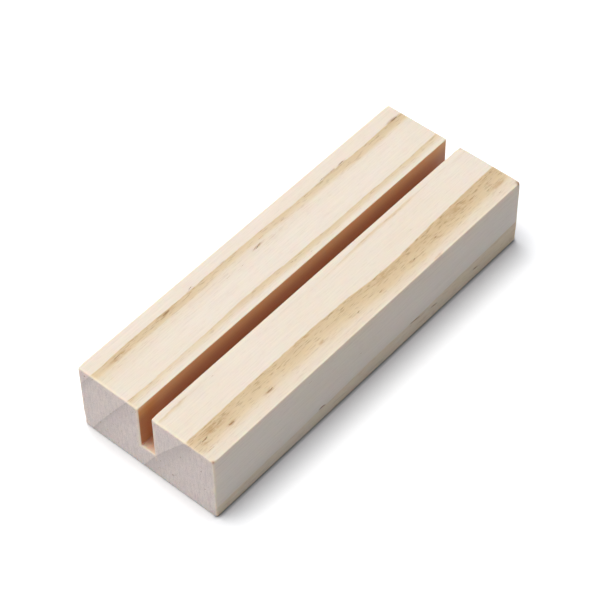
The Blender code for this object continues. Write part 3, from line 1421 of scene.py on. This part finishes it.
@dataclass
class ResinPockets:
    """Resin dried in the nicks and in the widest canals: a slim lens in each.

    Attributes:
        block: The block that they lie in.
        finish: What the resin looks like.
        thickness: How thick a lens is at its middle.
        sunk: How far its middle lies under the face.
        streaks: How many lenses lie in each nick.
        scatter: How far they lie apart, as a share of the nick.
        thinnest: The smallest of them, as a share of the nick.
        widest: The widest of them, in the same way.
        turn_more: How far a lens may turn off its nick, in radians.
        pore_shape: The width of a canal that is cut across, as a share of its length.
        seed: The first of five seeds.
    """

    block: PineBlock
    finish: DryResin
    thickness: float = 0.10 * MM
    sunk: float = 0.045 * MM
    streaks: int = 3
    scatter: float = 0.35
    thinnest: float = 0.35
    widest: float = 0.8
    turn_more: float = 0.12
    pore_shape: float = 0.7
    seed: int = 21

    def lying(self) -> bpy.types.Mesh:
        """Lays out a point in each nick.

        Returns:
            The points, which carry the size, turn and normal of their lenses.
        """
        points, sizes, normals, turns = [], [], [], []
        for nick in NICKS:
            normal = Vector((0.0, 0.0, 1.0)) if nick.face is Face.TOP else Vector((0.0, -1.0, 0.0))
            points.append(self.block.nick_spot(nick) - normal * self.sunk)
            sizes.append((nick.length * MM, nick.width * MM, self.thickness))
            normals.append(normal)
            turns.append(math.radians(nick.turn))
        return self.dotted(points, sizes, normals, turns)

    def end_on(self) -> bpy.types.Mesh:
        """Lays out a point in each wide canal on the -X end.

        Returns:
            The points, in the same way.
        """
        normal = Vector((-1.0, 0.0, 0.0))
        points, sizes = [], []
        for pore in PORES:
            y = self.block.width / 2 - pore.across * MM
            spot = Vector((-self.block.length / 2, y, self.block.height - pore.below * MM))
            points.append(spot - normal * self.sunk)
            sizes.append((pore.size * MM, pore.size * self.pore_shape * MM, self.thickness))
        return self.dotted(points, sizes, [normal] * len(PORES), [0.0] * len(PORES))

    @staticmethod
    def dotted(
        points: Sequence[Vector], sizes: Sequence[Point], normals: Sequence[Vector], turns: Sequence[float]
    ) -> bpy.types.Mesh:
        """Makes a mesh of loose points that carry what their lenses need.

        Args:
            points: Where the lenses go.
            sizes: Length, width and thickness of each.
            normals: Which way the face looks.
            turns: How far each turns on its face, in radians.

        Returns:
            The mesh.
        """
        mesh = bpy.data.meshes.new("resin_points")
        mesh.from_pydata([tuple(point) for point in points], [], [])
        for name, values in (("size", sizes), ("normal", normals)):
            mesh.attributes.new(name, "FLOAT_VECTOR", "POINT").data.foreach_set("vector", np.ravel(values))
        mesh.attributes.new("turn", "FLOAT", "POINT").data.foreach_set("value", np.ravel(turns))
        return mesh

    def lens_tree(self, cut: Cut, finish: bpy.types.Material) -> GeometrySheet:
        """Writes the nodes that put a few thin lenses at each point, so that no two nicks look alike.

        Args:
            cut: How these canals are cut.
            finish: What the resin looks like.

        Returns:
            The tree, which starts from the points.
        """
        sheet = GeometrySheet(f"lay_resin_{cut.value}")
        streaks = sheet.whole("Streaks in Each", self.streaks)
        scatter, thinnest, widest = sheet.numbers(self, "scatter", "thinnest", "widest")
        inputs = {"Geometry": sheet.mesh, "Amount": streaks}
        copies = sheet.node("GeometryNodeDuplicateElements", {"domain": "POINT"}, **inputs)
        normal = sheet.attribute("normal", "FLOAT_VECTOR")
        length, width, thickness = sheet.parts(sheet.attribute("size", "FLOAT_VECTOR"))
        grain = (1.0, 0.0, 0.0) if cut is Cut.ALONG else (0.0, 1.0, 0.0)
        across = sheet.vector("CROSS_PRODUCT", normal, grain)
        along = sheet.vector("CROSS_PRODUCT", across, normal)
        slide = sheet.scaled(along, length * scatter * sheet.chance(-1.0, 1.0, self.seed))
        step_aside = sheet.scaled(across, width * scatter * sheet.chance(-1.0, 1.0, self.seed + 1))
        points = sheet.moved(sheet.out(copies, "Geometry"), sheet.vector("ADD", slide, step_aside))
        size = sheet.joined(
            length * sheet.chance(thinnest, 1.0, self.seed + 2),
            width * sheet.chance(thinnest, widest, self.seed + 3),
            thickness,
        )
        turn = sheet.attribute("turn") + sheet.chance(-self.turn_more, self.turn_more, self.seed + 4)
        sheet.finish(sheet.lenses(points, normal, cut.pivot, turn, size), finish)
        return sheet

    def build(self) -> list[bpy.types.Object]:
        """Builds the two pieces.

        Returns:
            The resin in the nicks and the resin in the end's canals.
        """
        finish = self.finish.material("dry_resin")
        pieces = [
            self.lens_tree(Cut.ALONG, finish).applied_to(self.lying(), "nick_resin"),
            self.lens_tree(Cut.ACROSS, finish).applied_to(self.end_on(), "end_resin"),
        ]
        for piece in pieces:
            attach(piece, BODY)
        return pieces


@dataclass
class OpenCanals:
    """Fine resin canals that the tools cut open, scattered over one kind of face.

    Attributes:
        block: The block that they lie in.
        finish: What they look like.
        cut: How they are cut.
        density: How many there are on a square metre of early wood.
        in_latewood: How many more there are where the wood is dense.
        length: Shortest and longest.
        width: Narrowest and widest.
        sway: How far one may turn on its face, in degrees.
        thickness: Of the resin in them.
        end_clear: How far one keeps its middle from an end, as a share of the longest.
        seed: Which scatter this is.
    """

    block: PineBlock
    finish: DryResin
    cut: Cut
    density: float
    in_latewood: float
    length: tuple[float, float]
    width: tuple[float, float]
    sway: float
    thickness: float = 0.03 * MM
    end_clear: float = 0.6
    seed: int = 1

    def scatter_tree(self) -> GeometrySheet:
        """Writes the nodes that scatter the canals over the block.

        Returns:
            The tree, which starts from the finished block.
        """
        sheet = GeometrySheet(f"scatter_canals_{self.cut.value}")
        density, in_latewood, thickness = sheet.numbers(self, "density", "in_latewood", "thickness")
        limits = zip(("Shortest", "Longest", "Narrowest", "Widest"), self.length + self.width)
        shortest, longest, narrowest, widest = (sheet.number(name, value) for name, value in limits)
        seed = sheet.whole("Seed", self.seed)

        end_grain = sheet.step(sheet.attribute("end_grain"), 0.5, 1.0)
        wanted = 1 - end_grain if self.cut is Cut.ALONG else end_grain
        wanted = wanted * (1 - sheet.attribute("slot_wall")) * (1 - sheet.attribute("rim"))
        if self.cut is Cut.ALONG:
            along, _, _ = sheet.parts(sheet.place())
            from_end = self.block.length / 2 - sheet.math("ABSOLUTE", along)
            wanted = wanted * sheet.math("GREATER_THAN", from_end, longest * self.end_clear)
        point = sheet.scaled(sheet.place(), 1 / MM)
        latewood = self.block.rings.latewood(sheet, point, self.block.length / 2 / MM)
        share = (density + latewood * in_latewood) * wanted
        inputs = {"Mesh": sheet.mesh, "Density": share, "Seed": seed}
        spread = sheet.node("GeometryNodeDistributePointsOnFaces", {"distribute_method": "RANDOM"}, **inputs)
        size = sheet.joined(
            sheet.chance(shortest, longest, self.seed + 1),
            sheet.chance(narrowest, widest, self.seed + 2),
            thickness,
        )
        sway = math.radians(self.sway)
        turn = sheet.chance(-sway, sway, self.seed + 3)
        points, normal = sheet.out(spread, "Points"), sheet.out(spread, "Normal")
        lenses = sheet.lenses(points, normal, self.cut.pivot, turn, size)
        sheet.finish(lenses, self.finish.material(f"thin_resin_{self.cut.value}"))
        return sheet

    def build(self, name: str, block: bpy.types.Object) -> bpy.types.Object:
        """Builds the piece.

        Args:
            name: What it is called.
            block: The finished block.

        Returns:
            The piece.
        """
        piece = self.scatter_tree().applied_to(block.data.copy(), name)
        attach(piece, BODY)
        return piece


@dataclass(frozen=True)
class SoftLamp:
    """A round soft lamp that points at the middle of the block's base.

    Attributes:
        name: What the lamp is called.
        level: How brightly it lights a surface that faces it, where 1 shows a colour as written.
        colour: Its tint.
        azimuth: Round from +X towards +Y, in degrees.
        elevation: Above the floor, in degrees.
        distance: From the block.
        size: Across the lamp.
    """

    name: str
    level: float
    colour: Point
    azimuth: float
    elevation: float
    distance: float
    size: float

    def build(self) -> bpy.types.Object:
        """Hangs the lamp.

        Returns:
            The lamp.
        """
        azimuth, elevation = math.radians(self.azimuth), math.radians(self.elevation)
        level = math.cos(elevation)
        towards = Vector((level * math.cos(azimuth), level * math.sin(azimuth), math.sin(elevation)))
        data = bpy.data.lights.new(self.name, "AREA")
        data.shape = "DISK"
        data.size = self.size
        data.color = self.colour
        data.energy = self.level * (math.pi * self.distance) ** 2
        lamp = bpy.data.objects.new(self.name, data)
        lamp.location = towards * self.distance
        lamp.rotation_euler = towards.to_track_quat("Z", "Y").to_euler()
        bpy.context.scene.collection.objects.link(lamp)
        return lamp


@dataclass
class Studio:
    """A pale floor, a white surround, a large soft key lamp overhead and a low one off the -X end.

    Attributes:
        floor_size: Along each side of the floor.
        dome_colour: The surround's light on the object, slightly cool.
        dome_strength: How strong that light is.
        paper: What the floor looks like.
        key: The lamp that lights the top, from a little behind it.
        fill: The lamp that lights the -X end.
    """

    floor_size: float = 6.0
    dome_colour: Colour = (0.82, 0.87, 1.0, 1.0)
    dome_strength: float = 0.33
    paper: StudioPaper = StudioPaper()
    key: SoftLamp = SoftLamp(
        "key_lamp", level=0.73, colour=(1.0, 0.975, 0.93),
        azimuth=98.0, elevation=75.0, distance=1.2, size=0.90,
    )
    fill: SoftLamp = SoftLamp(
        "end_lamp", level=0.225, colour=(1.0, 0.985, 0.96),
        azimuth=152.0, elevation=26.0, distance=1.2, size=1.10,
    )

    def floor(self) -> bpy.types.Object:
        """Lays the floor at the block's base.

        Returns:
            The floor.
        """
        half = self.floor_size / 2
        mesh = bpy.data.meshes.new("studio_floor")
        corners = [(-half, -half, 0), (half, -half, 0), (half, half, 0), (-half, half, 0)]
        mesh.from_pydata(corners, [], [(0, 1, 2, 3)])
        mesh.materials.append(self.paper.material())
        floor = bpy.data.objects.new("studio_floor", mesh)
        bpy.context.scene.collection.objects.link(floor)
        return floor

    def surround(self) -> None:
        """Makes the world: dim to the object, white to the camera and to a reflection."""
        world = bpy.data.worlds.new("studio_surround")
        world.use_nodes = True
        bpy.context.scene.world = world
        sheet = NodeSheet(world.node_tree)
        seen = sheet.seen()
        colour = sheet.blend(seen, self.dome_colour, (1.0, 1.0, 1.0, 1.0))
        strength = seen * (1 - self.dome_strength) + self.dome_strength
        background = sheet.node("ShaderNodeBackground", Color=colour, Strength=strength)
        sheet.node("ShaderNodeOutputWorld", Surface=sheet.out(background))

    def build(self) -> None:
        """Lays the floor, makes the surround and hangs both lamps."""
        self.floor()
        self.surround()
        self.key.build()
        self.fill.build()
        bpy.context.scene.view_settings.view_transform = "Standard"


@dataclass
class Viewpoint:
    """The camera: a long lens, high over the block's -X end and front side.

    Attributes:
        position: Where it stands.
        forward: Which way it looks.
        down: Which way the picture's lower edge lies.
        lens: Focal length, in mm.
        sensor: Width of the sensor, in mm.
        clip_start: The nearest thing that it shows.
    """

    position: Point = (-0.181825, -0.160034, 0.290215)
    forward: Point = (0.48624674, 0.43247944, -0.75929286)
    down: Point = (-0.57951906, -0.49074179, -0.65063827)
    lens: float = 130.043
    sensor: float = 36.0
    clip_start: float = 0.01

    def build(self) -> bpy.types.Object:
        """Makes the camera and sets it as the scene's.

        Returns:
            The camera.
        """
        data = bpy.data.cameras.new("camera")
        data.lens = self.lens
        data.sensor_width = self.sensor
        data.clip_start = self.clip_start
        camera = bpy.data.objects.new("camera", data)
        bpy.context.scene.collection.objects.link(camera)
        forward, up = Vector(self.forward).normalized(), -Vector(self.down).normalized()
        right = forward.cross(up).normalized()
        turn = Matrix((right, right.cross(forward), -forward)).transposed()
        camera.matrix_world = Matrix.Translation(self.position) @ turn.to_4x4()
        bpy.context.scene.camera = camera
        return camera


def main() -> None:
    """Builds the camera, the studio and the holder, in that order."""
    logging.basicConfig(level=logging.INFO, format="%(name)s: %(message)s")
    Viewpoint().build()
    Studio().build()
    block = PineBlock.from_frame(frame, GrowthRings(), BarePine())
    pieces = [block.build()]
    pieces += ResinPockets(block, DryResin()).build()
    thin = DryResin(thin=srgb(212, 184, 144), thick=srgb(172, 136, 94))
    along = OpenCanals(
        block, thin, Cut.ALONG, density=5000.0, in_latewood=60000.0,
        length=(0.4 * MM, 1.6 * MM), width=(0.04 * MM, 0.09 * MM), sway=5.0, seed=3,
    )
    across = OpenCanals(
        block, thin, Cut.ACROSS, density=60000.0, in_latewood=350000.0,
        length=(0.10 * MM, 0.22 * MM), width=(0.10 * MM, 0.22 * MM), sway=40.0, seed=9,
    )
    pieces += [along.build("open_canals", pieces[0]), across.build("end_pores", pieces[0])]
    for piece in pieces:
        piece.data.calc_loop_triangles()
        LOG.info("%s: %d triangles", piece.name, len(piece.data.loop_triangles))


if __name__ == "__main__":
    main()
